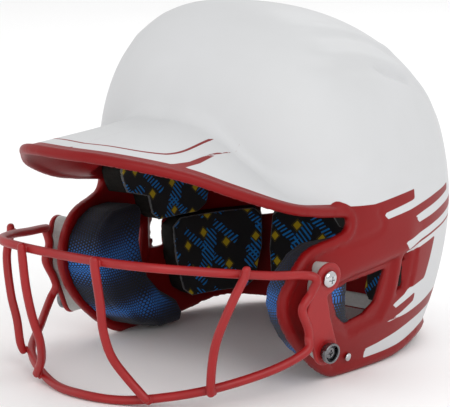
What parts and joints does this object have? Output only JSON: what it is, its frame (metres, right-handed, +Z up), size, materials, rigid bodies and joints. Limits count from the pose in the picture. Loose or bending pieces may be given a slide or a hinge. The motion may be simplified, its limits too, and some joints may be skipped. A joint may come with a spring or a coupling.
{
  "type": "batting helmet",
  "caption": "Hard batting helmet with jaw flaps, a padded liner and a wire face guard bolted on through spacers.",
  "frame": {"origin": "centre of the footprint of the whole helmet, on the table", "axes": "+Z up, -Y the way the wearer looks, +X the wearer's left"},
  "size_m": [0.2206, 0.3227, 0.218],
  "materials": {
    "shell": "matte moulded shell, white over red",
    "guard": "red plastic-coated steel wire and plate",
    "spacer": "clear grey moulded plastic",
    "foam": "black closed-cell foam",
    "print_fabric": "black printed knit laminated to foam",
    "jaw_mesh": "black spacer mesh with blue dots",
    "screw_chrome": "bright chrome",
    "nickel": "black nickel",
    "nut_steel": "zinc plated steel",
    "label": "blank white sticker"
  },
  "bodies": {
    "helmet": {"shell": "shell", "inner_label": "label", "edge_rivets": "screw_chrome", "front_pad_foam": "foam", "front_pad_fabric": "print_fabric", "crown_pad_foam": "foam", "crown_pad_fabric": "print_fabric", "temple_pad_left_foam": "foam", "temple_pad_left_fabric": "print_fabric", "temple_pad_right_foam": "foam", "temple_pad_right_fabric": "print_fabric", "rear_pad_left_foam": "foam", "rear_pad_left_fabric": "print_fabric", "rear_pad_right_foam": "foam", "rear_pad_right_fabric": "print_fabric", "nape_pad_left_foam": "foam", "nape_pad_left_fabric": "print_fabric", "nape_pad_right_foam": "foam", "nape_pad_right_fabric": "print_fabric", "jaw_pad_left_foam": "foam", "jaw_pad_left_cover": "jaw_mesh", "jaw_pad_right_foam": "foam", "jaw_pad_right_cover": "jaw_mesh", "guard_rim": "guard", "guard_bar_left_outer": "guard", "guard_bar_left_inner": "guard", "guard_bar_right_inner": "guard", "guard_bar_right_outer": "guard", "guard_plate_left": "guard", "guard_plate_right": "guard", "spacer_left": "spacer", "spacer_right": "spacer", "flap_nuts": "nut_steel", "snap_stud_left": "nickel", "snap_stud_right": "nickel"},
    "upper_screw_left_body": {"upper_screw_left": "screw_chrome"},
    "upper_screw_right_body": {"upper_screw_right": "screw_chrome"},
    "lower_screw_left_body": {"lower_screw_left": "nickel"},
    "lower_screw_right_body": {"lower_screw_right": "nickel"}
  },
  "joints": [
    {"name": "upper_screw_left_turn", "type": "hinge", "parent": "helmet", "child": "upper_screw_left_body", "pos_m": [0.1045, -0.046, 0.0698], "axis": [0.9795, -0.1551, -0.1288], "continuous": true},
    {"name": "upper_screw_right_turn", "type": "hinge", "parent": "helmet", "child": "upper_screw_right_body", "pos_m": [-0.1045, -0.046, 0.0698], "axis": [-0.9795, -0.1551, -0.1288], "continuous": true},
    {"name": "lower_screw_left_turn", "type": "hinge", "parent": "helmet", "child": "lower_screw_left_body", "pos_m": [0.0994, -0.04114, 0.02517], "axis": [0.9795, -0.1551, -0.1288], "continuous": true},
    {"name": "lower_screw_right_turn", "type": "hinge", "parent": "helmet", "child": "lower_screw_right_body", "pos_m": [-0.0994, -0.04114, 0.02517], "axis": [-0.9795, -0.1551, -0.1288], "continuous": true}
  ]
}
